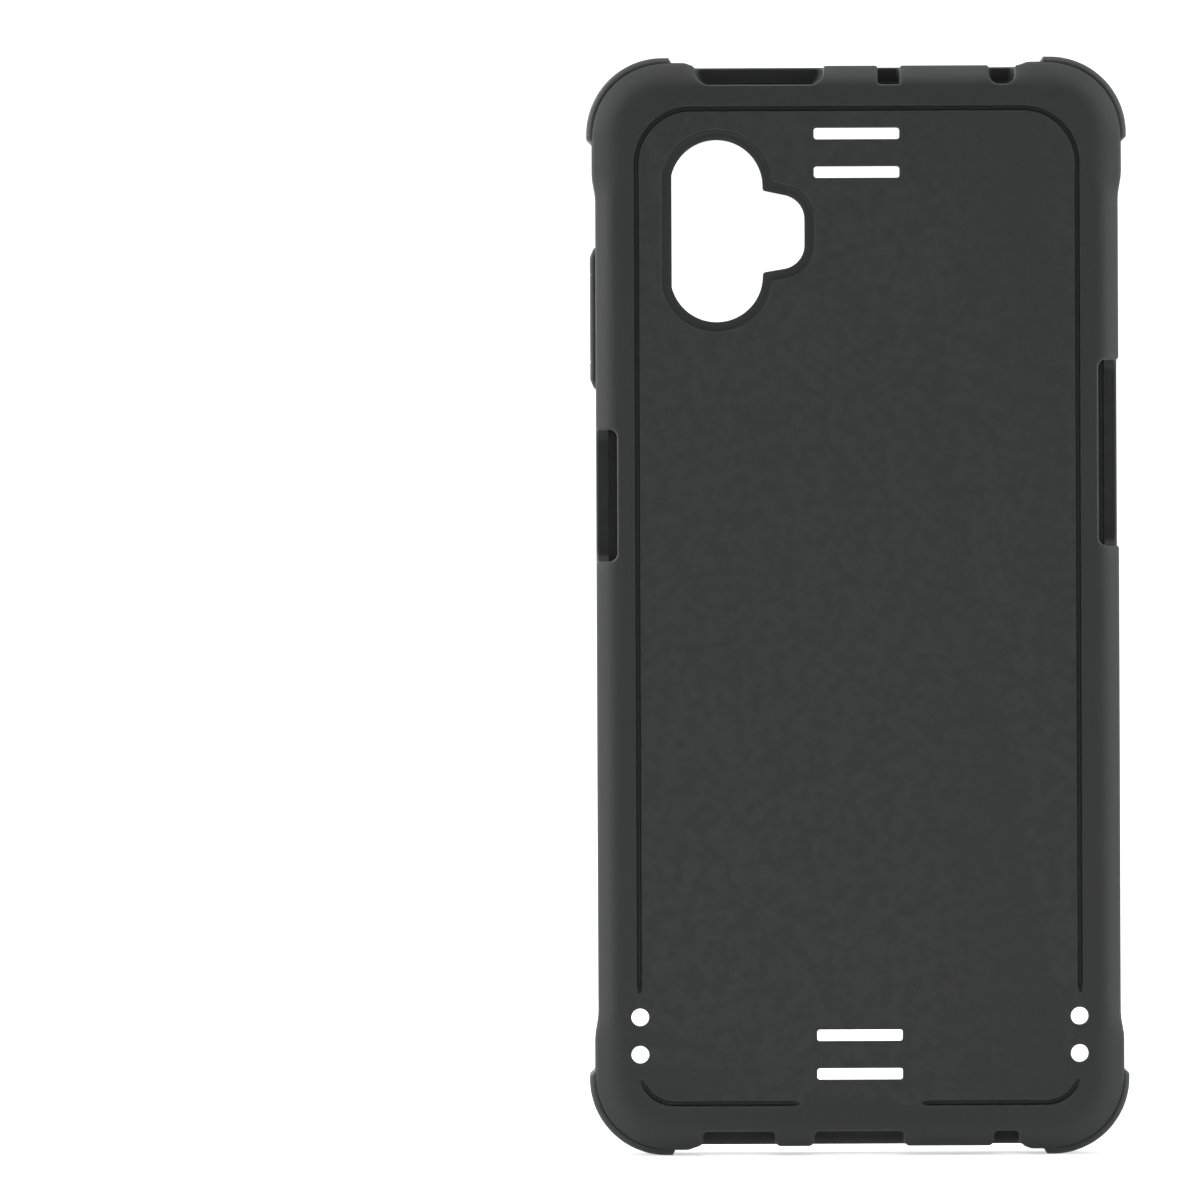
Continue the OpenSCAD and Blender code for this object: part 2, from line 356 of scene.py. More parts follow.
def smooth(made: bpy.types.Object, sharp: float = 38.0) -> None:
    """Shades an object smoothly, but for its sharp edges, and marks its ridges.

    Args:
        made: The object.
        sharp: Edges above this angle in degrees stay sharp.
    """
    mesh = made.data
    mark_ridges(mesh)
    mesh.polygons.foreach_set("use_smooth", [True] * len(mesh.polygons))
    mesh.set_sharp_from_angle(angle=math.radians(sharp))
    even = made.modifiers.new("even", "WEIGHTED_NORMAL")
    even.mode = "FACE_AREA"
    even.keep_sharp = True
    even.weight = 60
    settle(made)


def mark_ridges(mesh: bpy.types.Mesh, least: float = 12.0, full: float = 45.0) -> None:
    """Writes how far each point stands on an outer edge, from 0 to 1, as the layer 'ridge'.

    Args:
        mesh: The mesh.
        least: Edges that turn less than this, in degrees, are left out.
        full: Edges that turn this much count as 1.
    """
    work = bmesh.new()
    work.from_mesh(mesh)
    values = np.zeros(len(work.verts), np.float32)
    for edge in work.edges:
        if len(edge.link_faces) != 2:
            continue
        turn = edge.calc_face_angle_signed(0.0)
        if turn > math.radians(least):
            share = min(1.0, turn / math.radians(full))
            for vert in edge.verts:
                values[vert.index] = max(values[vert.index], share)
    work.free()
    layer = mesh.attributes.new("ridge", "FLOAT", "POINT")
    layer.data.foreach_set("value", values)


# ------------------------------------------------------------------------------ shaders

Value = Union[float, "Wire"]


class Wire:
    """A shader socket that takes part in Python sums; each sum adds a Math node."""

    def __init__(self, graph: "Graph", socket: bpy.types.NodeSocket) -> None:
        """Wraps one output socket of a graph."""
        self.graph = graph
        self.socket = socket

    def _sum(self, operation: str, first: Value, second: Value) -> "Wire":
        """Adds a Math node and gives its result.

        Args:
            operation: The node's operation.
            first: Its first value.
            second: Its second value.

        Returns:
            The result.
        """
        return self.graph.out(
            "ShaderNodeMath", {"operation": operation}, {0: first, 1: second}
        )

    def __add__(self, other: Value) -> "Wire":
        """This plus another."""
        return self._sum("ADD", self, other)

    __radd__ = __add__

    def __sub__(self, other: Value) -> "Wire":
        """This less another."""
        return self._sum("SUBTRACT", self, other)

    def __rsub__(self, other: Value) -> "Wire":
        """Another less this."""
        return self._sum("SUBTRACT", other, self)

    def __mul__(self, other: Value) -> "Wire":
        """This times another."""
        return self._sum("MULTIPLY", self, other)

    __rmul__ = __mul__


class Graph:
    """The node tree of one material."""

    def __init__(self, name: str) -> None:
        """Starts an empty material of that name.

        Args:
            name: The material's name.
        """
        self.material = bpy.data.materials.new(name)
        self.material.use_nodes = True
        self.tree = self.material.node_tree
        self.tree.nodes.clear()

    def node(
        self, kind: str, settings: Optional[dict] = None, inputs: Optional[dict] = None
    ) -> bpy.types.Node:
        """Adds a node.

        Args:
            kind: The node's type.
            settings: Its own settings, set first; 'stops' holds a ramp's places and colours.
            inputs: Values or wires for its input sockets, by name or number.

        Returns:
            The node.
        """
        made = self.tree.nodes.new(kind)
        for name, value in (settings or {}).items():
            if name == "stops":
                ramp = made.color_ramp
                while len(ramp.elements) < len(value):
                    ramp.elements.new(1.0)
                for element, (at, colour) in zip(ramp.elements, value):
                    element.position = at
                    element.color = colour
            else:
                setattr(made, name, value)
        for name, value in (inputs or {}).items():
            socket = made.inputs[name]
            if isinstance(value, Wire):
                self.tree.links.new(value.socket, socket)
            else:
                socket.default_value = value
        return made

    def out(
        self,
        kind: str,
        settings: Optional[dict] = None,
        inputs: Optional[dict] = None,
        output: Union[int, str] = 0,
    ) -> Wire:
        """Adds a node and gives one of its outputs, the first unless another is named."""
        return Wire(self, self.node(kind, settings, inputs).outputs[output])

    def place(self) -> Wire:
        """The point being shaded, in the piece's own coordinates."""
        return self.out("ShaderNodeTexCoord", output="Object")

    def ridge(self) -> Wire:
        """How far the point stands on an outer edge, from 0 to 1."""
        return self.out("ShaderNodeAttribute", {"attribute_name": "ridge"}, output="Fac")

    def noise(self, at: Wire, per_mm: float, detail: float = 2.0, rough: float = 0.5) -> Wire:
        """Cloudy noise.

        Args:
            at: Where it is read.
            per_mm: How many blotches there are to a millimetre.
            detail: Octaves of finer noise on top.
            rough: Strength of the finer octaves.

        Returns:
            The noise, about 0.5 on average.
        """
        return self.out(
            "ShaderNodeTexNoise",
            {"noise_dimensions": "3D"},
            {"Vector": at, "Scale": per_mm / MM, "Detail": detail, "Roughness": rough},
        )

    def cells(self, at: Wire, per_mm: float) -> Wire:
        """Distance to the nearest of scattered points, so many to a millimetre.

        Args:
            at: Where it is read.
            per_mm: How many points there are to a millimetre.

        Returns:
            The distance, in spacings of the points.
        """
        return self.out(
            "ShaderNodeTexVoronoi",
            {"feature": "F1"},
            {"Vector": at, "Scale": per_mm / MM},
        )

    def between(self, share: Wire, low: float, high: float) -> Wire:
        """The share stretched so that low becomes 0 and high becomes 1, and held there.

        Args:
            share: What is stretched.
            low: What becomes 0.
            high: What becomes 1.

        Returns:
            The stretched share, eased at both ends.
        """
        return self.out(
            "ShaderNodeMapRange",
            {"clamp": True, "interpolation_type": "SMOOTHSTEP"},
            {"Value": share, "From Min": low, "From Max": high},
        )

    def blend(self, share: Value, first: Union[Wire, Colour], second: Union[Wire, Colour]) -> Wire:
        """A colour between two.

        Args:
            share: 0 for the first, 1 for the second.
            first: A colour or a wire.
            second: A colour or a wire.

        Returns:
            The mixed colour.
        """
        made = self.node("ShaderNodeMix", {"data_type": "RGBA", "clamp_factor": True})
        for socket, value in ((0, share), (6, first), (7, second)):
            if isinstance(value, Wire):
                self.tree.links.new(value.socket, made.inputs[socket])
            elif socket == 0:
                made.inputs[socket].default_value = value
            else:
                made.inputs[socket].default_value = (*value, 1.0)
        return Wire(self, made.outputs[2])

    def bump(self, height: Wire, tall_mm: float, strength: float = 1.0) -> Wire:
        """A bumped normal.

        Args:
            height: Height of the surface, from 0 to 1.
            tall_mm: What a height of 1 stands for, in millimetres.
            strength: Strength of the bump.

        Returns:
            The normal.
        """
        return self.out(
            "ShaderNodeBump",
            None,
            {"Height": height, "Distance": tall_mm * MM, "Strength": strength},
        )

    def surface(self, inputs: dict) -> bpy.types.Material:
        """Ends the graph in a principled surface with these inputs.

        Args:
            inputs: Values or wires for its sockets, by name.

        Returns:
            The finished material.
        """
        shader = self.node("ShaderNodeBsdfPrincipled", None, inputs)
        last = self.node("ShaderNodeOutputMaterial")
        self.tree.links.new(shader.outputs[0], last.inputs["Surface"])
        return self.material


@dataclass(frozen=True)
class SoftTouch:
    """Moulded matte elastomer with a spark-eroded grain.

    Its grain is finer than the eye picks out at arm's length. Broad, faint mottling comes from
    handling, and outer edges are burnished a little.
    """

    name: str
    slot: str
    dark: Colour = (0.0114, 0.0126, 0.0120)
    light: Colour = (0.0155, 0.0170, 0.0162)
    rough: float = 0.62
    gloss_level: float = 0.345
    ior: float = 1.5
    grain_per_mm: float = 3.4
    grain_tall: float = 0.014
    mottle_per_mm: float = 0.06
    smear_per_mm: float = 0.016
    lint_per_mm: float = 0.42
    wear_per_mm: float = 0.5
    pale_by: float = 1.9
    burnish: float = 0.07

    def make(self) -> bpy.types.Material:
        """Builds the material.

        Returns:
            The material.
        """
        g = Graph(self.name)
        at = g.place()
        grain = g.noise(at, self.grain_per_mm, 2.0, 0.6)
        pits = g.cells(at, self.grain_per_mm * 0.8)
        mottle = g.noise(at, self.mottle_per_mm, 3.0, 0.55)
        smear = g.noise(at, self.smear_per_mm, 2.0, 0.5)
        lint = 1.0 - g.between(g.cells(at, self.lint_per_mm), 0.02, 0.07)
        worn = g.ridge() * g.between(g.noise(at, self.wear_per_mm, 2.0), 0.35, 0.65)
        shade = g.between(grain * 0.6 + mottle * 0.25 + smear * 0.15, 0.32, 0.68)
        colour = g.blend(shade, self.dark, self.light)
        pale = tuple(c * self.pale_by for c in self.light)
        colour = g.blend(worn * 0.22 + lint * 0.10, colour, pale)
        rough = (
            self.rough
            + (mottle - 0.5) * 0.10
            + (smear - 0.5) * 0.08
            + (grain - 0.5) * 0.10
            - worn * self.burnish
        )
        height = grain * 0.6 + pits * 0.4
        return g.surface(
            {
                "Base Color": colour,
                "Roughness": rough,
                "Normal": g.bump(height, self.grain_tall),
                "IOR": self.ior,
                "Specular IOR Level": self.gloss_level,
            }
        )


@dataclass(frozen=True)
class PolishedRim:
    """Polished hard rim with slow moulding waves and hairline scuffs."""

    name: str
    slot: str
    dark: Colour = (0.0050, 0.0056, 0.0054)
    light: Colour = (0.0085, 0.0092, 0.0089)
    rough: float = 0.17
    gloss_level: float = 0.42
    ior: float = 1.5
    wave_per_mm: float = 0.09
    wave_tall: float = 0.10
    haze_per_mm: float = 0.7
    hair_per_mm: float = 2.2
    hair_stretch: float = 0.06

    def make(self) -> bpy.types.Material:
        """Builds the material.

        Returns:
            The material.
        """
        g = Graph(self.name)
        at = g.place()
        wave = g.noise(at, self.wave_per_mm, 2.0, 0.5)
        haze = g.noise(at, self.haze_per_mm, 4.0, 0.65)
        ridge = g.ridge()
        scale = (1.0, 1.0, self.hair_stretch)
        upright = g.out("ShaderNodeMapping", None, {"Vector": at, "Scale": scale})
        hair = g.between(g.noise(upright, self.hair_per_mm, 3.0, 0.6), 0.60, 0.72)
        scuff = g.between(haze, 0.55, 0.8) * 0.5 + ridge * haze * 0.15
        colour = g.blend(g.between(haze * 0.6 + wave * 0.4, 0.3, 0.7), self.dark, self.light)
        rough = self.rough + (haze - 0.5) * 0.10 + scuff * 0.10 + hair * 0.08
        height = wave * 0.9 + haze * 0.02 - hair * 0.012
        return g.surface(
            {
                "Base Color": colour,
                "Roughness": rough,
                "Normal": g.bump(height, self.wave_tall),
                "IOR": self.ior,
                "Specular IOR Level": self.gloss_level,
            }
        )


@dataclass(frozen=True)
class PaperSweep:
    """The pale paper that the case stands on."""

    name: str = "paper_sweep"
    colour: Colour = (0.60, 0.60, 0.60)
    # near and far: the paper's own emission in front of and behind the case, a painted glow rather
    # than lamp light.
    near: float = 0.05
    far: float = 0.72
    rough: float = 0.9
    gloss_level: float = 0.1
    fibre_per_mm: float = 0.4
    fade_from: float = -2.6
    fade_to: float = 1.2

    def make(self) -> bpy.types.Material:
        """Builds the material; the paper glows by its own emission, a painted glow that is dim in
        front of the case and brightest behind it.

        Returns:
            The material.
        """
        g = Graph(self.name)
        at = g.place()
        fibre = g.noise(at, self.fibre_per_mm, 3.0, 0.6)
        parts = g.node("ShaderNodeSeparateXYZ", None, {"Vector": at})
        behind = g.between(Wire(g, parts.outputs["Y"]), self.fade_from, self.fade_to)
        # Painted glow: the paper's emission rises from front to back, brightest behind the case,
        # in place of light falling there.
        painted_glow = g.blend(behind, (self.near,) * 3, (self.far,) * 3)
        return g.surface(
            {
                "Base Color": (*self.colour, 1.0),
                "Roughness": self.rough + (fibre - 0.5) * 0.1,
                "Specular IOR Level": self.gloss_level,
                "Emission Color": painted_glow,
                "Emission Strength": 1.0,
            }
        )


Finish = Union[SoftTouch, PolishedRim]

SHELL = SoftTouch("shell_elastomer", "shell_matte")
BUMPER = SoftTouch("bumper_elastomer", "bumper_matte", rough=0.60, grain_tall=0.013)
ROCKER = SoftTouch("rocker_elastomer", "rocker_matte", rough=0.58, grain_tall=0.010)
RIM = PolishedRim("rim_polished", "rim_gloss")


def finish_piece(
    made: bpy.types.Object, body: str, nodes: Sequence[str], finish: Finish
) -> None:
    """Dresses a piece, and ties it to the frame.

    Args:
        made: The piece.
        body: The body that it rides on.
        nodes: The solids that it stands for.
        finish: Its finish.
    """
    made.data.materials.clear()
    made.data.materials.append(material_of(finish))
    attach(made, body)
    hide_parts(*nodes)
    LOG.info("%s: %d faces, on %s", made.name, len(made.data.polygons), body)


def material_of(finish: Finish) -> bpy.types.Material:
    """The material of a finish, made once."""
    return bpy.data.materials.get(finish.name) or finish.make()


# ------------------------------------------------------------------------------- pieces


class Wall(Enum):
    """The four walls of the case, seen from the back, with the normal of each."""

    LEFT = (-1.0, 0.0)
    RIGHT = (1.0, 0.0)
    TOP = (0.0, 1.0)
    BOTTOM = (0.0, -1.0)


@dataclass
class Hull:
    """The outline that the shell, the rim and the bumpers share."""

    half_w: float = 42.05
    half_h: float = 86.9
    radius: float = 10.9
    swell: float = 0.55
    arc_steps: int = 28
    loop: Loop = field(init=False)
    bulge: np.ndarray = field(init=False)

    def __post_init__(self) -> None:
        """Draws the outline and works out how it swells towards the corners."""
        self.loop = self.ring(self.half_w, self.half_h, self.radius)
        self.bulge = self.bulge_at(self.loop.points)

    def ring(self, half_w: float, half_h: float, radius: float) -> Loop:
        """A rounded rectangle with the same points as the outline.

        Args:
            half_w: Half its width.
            half_h: Half its height.
            radius: Its corner radius.

        Returns:
            The rectangle, point for point with the outline.
        """
        edge = np.linspace(0.66, 1.0, 26)
        along_h = np.concatenate([-edge[::-1], np.linspace(-0.66, 0.66, 34)[1:-1], edge])
        edge = np.linspace(0.74, 1.0, 12)
        along_w = np.concatenate([-edge[::-1], np.linspace(-0.74, 0.74, 24)[1:-1], edge])
        return rounded_loop(half_w, half_h, radius, along_w, along_h, self.arc_steps)

    def bulge_at(self, points: np.ndarray) -> np.ndarray:
        """How far the walls swell out at these points.

        Args:
            points: Rows of x and y.

        Returns:
            The swell at each.
        """
        x, y = np.abs(points[:, 0]), np.abs(points[:, 1])
        by_side = ease(65.4, 69.8, y) * ease(30.0, 36.0, x)
        by_end = ease(25.9, 27.8, x) * ease(76.0, 82.0, y)
        return self.swell * np.maximum(by_side, by_end)

    def cornering(self) -> np.ndarray:
        """How far round a corner each point is: 0 on the runs, 1 at the middle of a corner."""
        n = np.abs(self.loop.normals)
        return np.sqrt(np.clip(2.0 * n[:, 0] * n[:, 1], 0.0, 1.0))


@dataclass
class EdgeWindow:
    """An opening in a wall that runs out through the back edge.

    start and end are its ends along the wall, reach_in how far it cuts into the back panel from
    the outside, front the depth where it starts. inner_r rounds its corners seen from the back,
    front_r those seen from the side, and flare the outer edge. stands_out is how far the cutting
    solid runs on past the wall.
    """

    wall: Wall
    start: float
    end: float
    reach_in: float
    front: float
    inner_r: float
    front_r: float
    flare: float
    stands_out: float = 2.2

    def tool(self, hull: Hull) -> bpy.types.Object:
        """Makes the solid that cuts the opening.

        Args:
            hull: The case's outline.

        Returns:
            The cutting solid.
        """
        inner = np.linspace(0.0, math.pi / 2, 9)
        outer = np.radians(np.linspace(0.0, 76.0, 8))
        steps = [self.reach_in - self.inner_r * (1 - math.cos(a)) for a in inner]
        steps += [self.flare * (1 - math.sin(a)) for a in outer]
        steps += [-self.stands_out]
        rings = []
        for inward in steps:
            pinch = quarter(self.inner_r, self.reach_in - inward)
            spread = quarter(self.flare, max(inward, self.flare * 0.03))
            flat = self.section(pinch - spread, -spread)
            rings.append(self.stand(hull, flat[:, 0], np.full(len(flat), inward), flat[:, 1]))
        return loft("window_tool", rings)

    def stand(
        self, hull: Hull, along: np.ndarray, inward: np.ndarray, depth: np.ndarray
    ) -> np.ndarray:
        """Puts points of the opening onto its wall.

        Args:
            hull: The case's outline.
            along: Places along the wall.
            inward: Distances in from the outside.
            depth: Depths.

        Returns:
            Rows of x, y and depth.
        """
        nx, ny = self.wall.value
        if nx:
            return np.column_stack([nx * (hull.half_w - inward), along, depth])
        return np.column_stack([along, ny * (hull.half_h - inward), depth])

    def plan(self, grow: float) -> tuple[np.ndarray, np.ndarray]:
        """The opening's outline seen from the back.

        Args:
            grow: How far it is grown.

        Returns:
            Places along the wall, and distances in from the outside.
        """
        low, high, deep = self.start - grow, self.end + grow, self.reach_in + grow
        r = min(self.inner_r + max(grow, 0.0), (high - low) / 2 - 0.02)
        sides = [-1.6, -0.4, *np.linspace(0.0, deep - r - 0.04, 12)]
        rows = [(low, t) for t in sides]
        for cx, begin in ((low + r, 180.0), (high - r, 90.0)):
            for step in range(11):
                a = math.radians(begin - 90.0 * step / 10)
                rows.append((cx + r * math.cos(a), deep - r + r * math.sin(a)))
        rows += [(high, t) for t in sides[::-1]]
        flat = np.array(rows)
        return flat[:, 0], flat[:, 1]

    def section(self, pinch: float, lift: float) -> np.ndarray:
        """The opening's outline as place along the wall and depth.

        Args:
            pinch: How much each end is drawn in.
            lift: How much the front edge moves back.

        Returns:
            Rows of place and depth.
        """
        low, high, front = self.start + pinch, self.end - pinch, self.front + lift
        r = max(0.05, min(self.front_r, (high - low) / 2 - 0.02))
        rows = [(low, PAST_BACK)]
        for cx, begin in ((low + r, 180.0), (high - r, 270.0)):
            for step in range(9):
                a = math.radians(begin + 90.0 * step / 8)
                rows.append((cx + r * math.cos(a), front + r + r * math.sin(a)))
        rows.append((high, PAST_BACK))
        return np.array(rows)


@dataclass
class CameraWindow:
    """The window round two lenses and a flash, with a dished border.

    border holds the border's section: how far out it is, and how far in front of the back face.
    """

    middle_x: float = -22.55
    upper_y: float = 67.5
    lower_y: float = 53.1
    radius: float = 7.42
    flat_x: float = 7.2
    end_x: float = -8.42
    end_r: float = 3.9
    end_top: float = 62.2
    end_low: float = 58.05
    top_slope: float = 12.0
    low_slope: float = 9.5
    neck_r: float = 0.55
    border: tuple[Pair, ...] = (
        (0.0, 0.95),
        (0.03, 0.86),
        (0.09, 0.80),
        (0.18, 0.77),
        (0.80, 0.80),
        (1.30, 0.84),
        (1.44, 0.78),
        (1.52, 0.60),
        (1.57, 0.36),
        (1.62, 0.18),
        (1.68, 0.09),
        (1.80, 0.03),
        (1.80, -0.6),
    )

    def outline(self, grow: float) -> np.ndarray:
        """The window's outline, grown outward.

        Args:
            grow: How far it is grown.

        Returns:
            Rows of x and y, the same number whatever the growth.
        """
        upper = self.half_outline(grow, self.upper_y, self.end_top, self.top_slope, 1.0)
        lower = self.half_outline(grow, self.lower_y, self.end_low, self.low_slope, -1.0)
        return np.concatenate([upper, lower[::-1]])

    def half_outline(
        self, grow: float, lens_y: float, end_y: float, slope: float, sign: float
    ) -> np.ndarray:
        """One half of the outline, from the flash window's end round the lens to the flat side.

        Args:
            grow: How far it is grown.
            lens_y: Height of the lens.
            end_y: Height of the middle of the flash window's corner.
            slope: How far the flash window's edge falls away to its end, in degrees.
            sign: 1 for the upper half, -1 for the lower.

        Returns:
            Rows of x and y.
        """
        big, corner_r = self.radius + grow, self.end_r + grow
        lens = np.array([self.middle_x, lens_y])
        corner = np.array([self.end_x - self.end_r, end_y])
        tilt = math.radians(slope)
        normal = np.array([math.sin(tilt), sign * math.cos(tilt)])
        along = np.array([-math.cos(tilt), sign * math.sin(tilt)])
        base = corner + normal * (corner_r + self.neck_r)
        back = base - lens
        half = float(back @ along)
        rest = float(back @ back) - (big + self.neck_r) ** 2
        fillet = base + along * (-half - math.sqrt(max(0.0, half * half - rest)))
        edge = math.degrees(math.atan2(normal[1], normal[0]))
        to_lens = math.degrees(math.atan2(fillet[1] - lens[1], fillet[0] - lens[0]))
        flat = math.degrees(math.acos((self.flat_x + grow) / big))
        return np.concatenate(
            [
                arc(corner, corner_r, 0.0, edge, 14),
                arc(fillet, self.neck_r, edge + sign * 180.0, to_lens + sign * 180.0, 8),
                arc(lens, big, to_lens, sign * (180.0 - flat), 40),
            ]
        )

    def tool(self, back: float, floor: float) -> bpy.types.Object:
        """Makes the solid that cuts the window and its border.

        Args:
            back: Depth of the back face.
            floor: Depth of the panel's inner face.

        Returns:
            The cutting solid.
        """
        rows = [(0.0, back - floor + 1.0), *self.border]
        rings = [flat_ring(self.outline(grow), back - below) for grow, below in rows]
        return loft("camera_tool", rings)


@dataclass
class BackShell:
    """The soft tub that holds the phone, with all its openings.

    edge_flare is the section of a hole's outer edge, and edge_form that of the tub's back edge:
    how far out or in it is, and how far in front of the back face.
    """

    hull: Hull
    depth: float = 15.0
    parting: float = 2.8
    floor: float = 12.8
    pocket_w: float = 80.1
    pocket_h: float = 169.0
    pocket_r: float = 8.8
    round_end: float = 1.08
    round_corner: float = 1.4
    line_x: float = 35.4
    line_y: float = 79.9
    line_r: float = 8.8
    line_low_r: float = 5.6
    line_low: float = -62.5
    line_arc: float = -76.1
    line_gap: float = 9.7
    slot_half: Pair = (6.88, 0.93)
    slot_r: float = 0.45
    slot_ys: tuple[float, ...] = (75.9, 69.7, -69.0, -75.2)
    eye_r: float = 1.42
    eye_x: float = 35.3
    eye_ys: Pair = (-72.0, -66.0)
    room_half_l: float = 11.75
    room_half_w: float = 2.47
    room_flare: float = 0.3
    edge_flare: tuple[Pair, ...] = (
        (0.0, 0.34),
        (0.02, 0.24),
        (0.06, 0.15),
        (0.13, 0.08),
        (0.24, 0.03),
        (0.24, -0.6),
    )
    edge_form: tuple[Pair, ...] = (
        (0.0, 3.1),
        (0.03, 2.8),
        (0.10, 2.5),
        (0.22, 2.27),
        (0.40, 2.06),
        (0.8, 1.69),
        (1.2, 1.34),
        (1.6, 1.02),
        (2.0, 0.74),
        (2.35, 0.54),
        (2.7, 0.38),
        (3.05, 0.26),
        (3.45, 0.175),
        (3.95, 0.11),
        (4.6, 0.057),
        (5.4, 0.018),
        (6.1, 0.0),
    )

    def windows(self) -> list[EdgeWindow]:
        """The openings in the four walls.

        Returns:
            The windows, wall by wall.
        """
        top = {"reach_in": 3.1, "front": 5.0}
        low = {"reach_in": 2.5, "front": 5.2, "inner_r": 0.8, "front_r": 0.7, "flare": 1.0}
        return [
            EdgeWindow(Wall.LEFT, 7.3, 28.5, 3.4, 4.6, 1.3, 2.0, 0.45),
            EdgeWindow(Wall.RIGHT, 9.5, 39.5, 3.4, 4.6, 1.4, 2.0, 0.45),
            EdgeWindow(Wall.TOP, -26.0, -5.2, inner_r=2.4, front_r=1.2, flare=0.4, **top),
            EdgeWindow(Wall.TOP, 3.4, 7.1, inner_r=0.5, front_r=0.6, flare=0.35, **top),
            EdgeWindow(Wall.TOP, 21.3, 25.6, inner_r=1.7, front_r=1.0, flare=0.4, **top),
            EdgeWindow(Wall.BOTTOM, -25.3, -13.6, **low),
            EdgeWindow(Wall.BOTTOM, -7.4, 7.1, **low),
            EdgeWindow(Wall.BOTTOM, 21.5, 25.7, **low),
        ]

    def blank(self) -> bpy.types.Object:
        """The tub before it is cut.

        Returns:
            The uncut solid.
        """
        hull = self.hull
        outer = hull.loop
        inner = hull.ring(self.pocket_w / 2, self.pocket_h / 2, self.pocket_r)
        floor, mouth = self.floor, self.parting
        rings = [
            inner.at_depth(grow, depth)
            for grow, depth in (
                (-0.8, floor),
                (-0.25, floor - 0.08),
                (-0.04, floor - 0.3),
                (0.0, floor - 0.8),
                (0.0, 9.0),
                (0.0, 6.0),
                (0.0, mouth + 0.2),
                (0.2, mouth),
            )
        ]
        rings += [outer.at_depth(hull.bulge - 0.2, mouth)]
        rings += [outer.at_depth(hull.bulge, d) for d in (mouth + 0.2, 4.4, 6.2, 8.0, 9.8)]
        wide = self.rounding()
        deep = 1.0 + 0.12 * hull.cornering()
        for inset, drop in self.edge_form:
            rings.append(outer.at_depth(hull.bulge - inset * wide, self.depth - drop * deep))
        return loft("shell_tub", rings)

    def rounding(self) -> np.ndarray:
        """How wide the back edge's form is drawn at each outline point; 1 on the side runs.

        Returns:
            The width at each point.
        """
        hull = self.hull
        end_ward = np.abs(hull.loop.normals[:, 1]) ** 2
        plain = 1.0 + (self.round_end - 1.0) * end_ward
        return plain + (self.round_corner - plain) * hull.bulge / hull.swell

    def drop_at(self, inset: np.ndarray, wide: float) -> np.ndarray:
        """How far the back edge's form, drawn so wide, lies in front of the back face."""
        form = np.array(self.edge_form)
        return np.interp(np.asarray(inset) / wide, form[:, 0], form[:, 1])

    def lip_tool(self, window: EdgeWindow) -> bpy.types.Object:
        """Makes the solid that rounds a window's edge where it runs out through the back.

        Args:
            window: The window.

        Returns:
            The cutting solid.
        """
        wide = self.round_end if window.wall in (Wall.TOP, Wall.BOTTOM) else 1.0
        rows = [(-0.06, 1.1), (-0.06, 0.44), *self.edge_flare[:-1], (self.edge_flare[-2][0], -0.9)]
        rings = []
        for grow, below in rows:
            along, inward = window.plan(grow)
            depth = self.depth - self.drop_at(inward, wide) - below
            rings.append(window.stand(self.hull, along, inward, depth))
        return loft("lip_tool", rings)

    def panel_tool(self, flat: Callable[[float], np.ndarray]) -> bpy.types.Object:
        """Makes a solid that cuts a flared hole through the back panel.

        Args:
            flat: Gives the hole's outline, grown by a distance.

        Returns:
            The cutting solid.
        """
        rows = [(0.0, self.depth - self.floor + 1.0), *self.edge_flare]
        rings = [flat_ring(flat(grow), self.depth - below) for grow, below in rows]
        return loft("hole_tool", rings)

    def slots(self) -> list[bpy.types.Object]:
        """Tools for the four hand strap slots.

        Returns:
            The cutting solids.
        """
        few = np.linspace(-1.0, 1.0, 5)
        loop = rounded_loop(*self.slot_half, self.slot_r, few, few, 8)
        return [
            self.panel_tool(lambda grow, y=y: loop.grown(grow) + np.array([0.0, y]))
            for y in self.slot_ys
        ]

    def eyes(self) -> list[bpy.types.Object]:
        """Tools for the four lanyard holes.

        Returns:
            The cutting solids.
        """
        unit = round_unit(48)
        return [
            self.panel_tool(lambda g, at=np.array([x, y]): at + unit * (self.eye_r + g * 0.6))
            for x in (-self.eye_x, self.eye_x)
            for y in self.eye_ys
        ]

    def groove(self, path: np.ndarray) -> bpy.types.Object:
        """Makes the tool for one run of the engraved line.

        Args:
            path: Rows of x and y along its middle.

        Returns:
            The cutting solid.
        """
        half = [(0.45, -0.4), (0.45, 0.03), (0.39, 0.08), (0.35, 0.20), (0.33, 0.62), (0.22, 0.80)]
        section = np.array([(-u, v) for u, v in half] + [(0.0, 0.84)] + half[::-1])
        step = np.gradient(path, axis=0)
        step /= np.linalg.norm(step, axis=1)[:, None]
        side = np.column_stack([-step[:, 1], step[:, 0]])
        run = run_along(path)
        rings = []
        for i, point in enumerate(path):
            near = min(run[i], run[-1] - run[i])
            share = math.sqrt(min(1.0, (near + 0.02) / 1.3))
            sunk = np.where(section[:, 1] > 0.0, section[:, 1] * share, section[:, 1])
            across = section[:, 0] * (0.25 + 0.75 * share)
            rings.append(np.column_stack([point + side[i] * across[:, None], self.depth - sunk]))
        return loft("line_tool", rings)

    def line_tools(self) -> list[bpy.types.Object]:
        """Tools for the three runs of the engraved line.

        Returns:
            The cutting solids.
        """
        across, up = np.linspace(-1.0, 1.0, 180), np.linspace(-1.0, 1.0, 160)
        high = rounded_loop(self.line_x, self.line_y, self.line_r, across, up, 24).points
        low = rounded_loop(self.line_x, self.line_y, self.line_low_r, across, up, 24).points
        pts = np.where(high[:, 1:] > 0.0, high, low)
        foot = int(np.argmin(np.hypot(pts[:, 0], pts[:, 1] + self.line_y)))
        pts = np.roll(pts, -foot, axis=0)
        runs = [
            pts[(pts[:, 1] > self.line_low)],
            pts[(pts[:, 0] > self.line_gap) & (pts[:, 1] < self.line_arc)],
            pts[(pts[:, 0] < -self.line_gap) & (pts[:, 1] < self.line_arc)],
        ]
        return [self.groove(self.fine_ends(run)) for run in runs]

